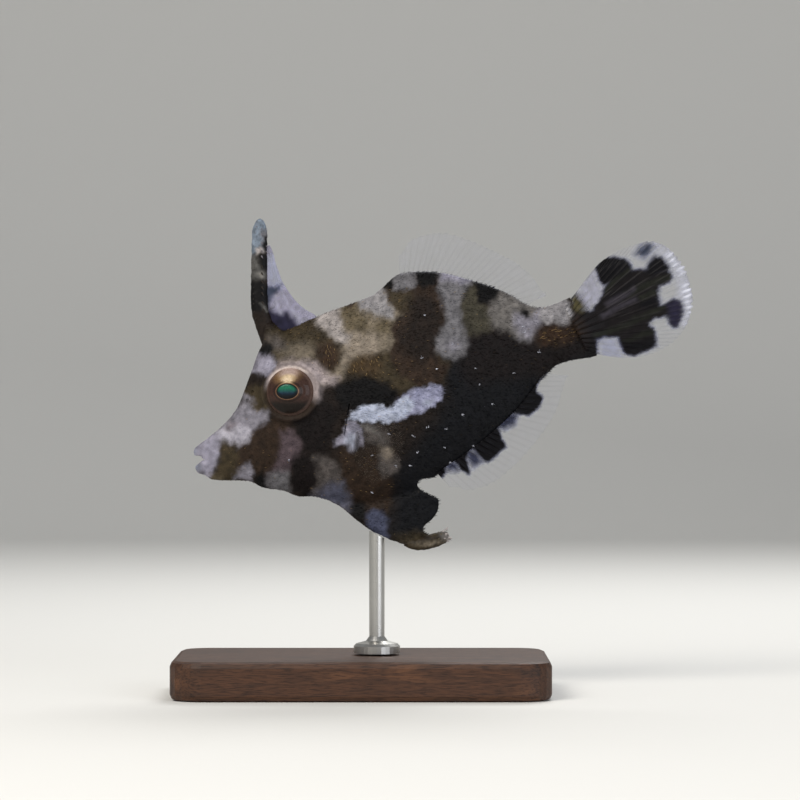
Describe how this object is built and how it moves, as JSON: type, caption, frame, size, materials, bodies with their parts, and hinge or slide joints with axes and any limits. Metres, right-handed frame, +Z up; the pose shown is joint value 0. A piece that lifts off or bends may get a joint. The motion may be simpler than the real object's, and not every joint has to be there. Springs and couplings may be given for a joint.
{
  "type": "life-size model of an aiptasia-eating filefish (Acreichthys tomentosus) on a display stand",
  "caption": "Small deep-bodied filefish swimming nose down, with a tall first dorsal spine, pointed snout, loose belly flap and rounded tail fan, held by a rod on a flat base.",
  "frame": {"origin": "centre of the underside of the stand's base", "axes": "+Z up, the fish's head towards -X and its left side towards -Y"},
  "size_m": [0.0804, 0.036, 0.073],
  "materials": {
    "skin": "fine bristly skin, mottled olive brown, black and pale grey",
    "fin": "clear fin membrane with dark blotches",
    "spine": "rough skin-covered bone",
    "eye": "wet, glossy",
    "stand_wood": "satin oiled walnut",
    "stand_steel": "brushed"
  },
  "bodies": {
    "root": {"head": "skin", "trunk": "skin", "caudal_peduncle": "skin", "belly_flap": "skin", "eye_left": "eye", "eye_right": "eye", "dorsal_spine": "spine", "dorsal_spine_web": "fin", "soft_dorsal_fin": "fin", "anal_fin": "fin", "caudal_fin": "fin", "pectoral_fin_left": "fin", "pectoral_fin_right": "fin", "pelvic_spine": "spine", "stand_base": "stand_wood", "stand_rod": "stand_steel"}
  },
  "joints": []
}
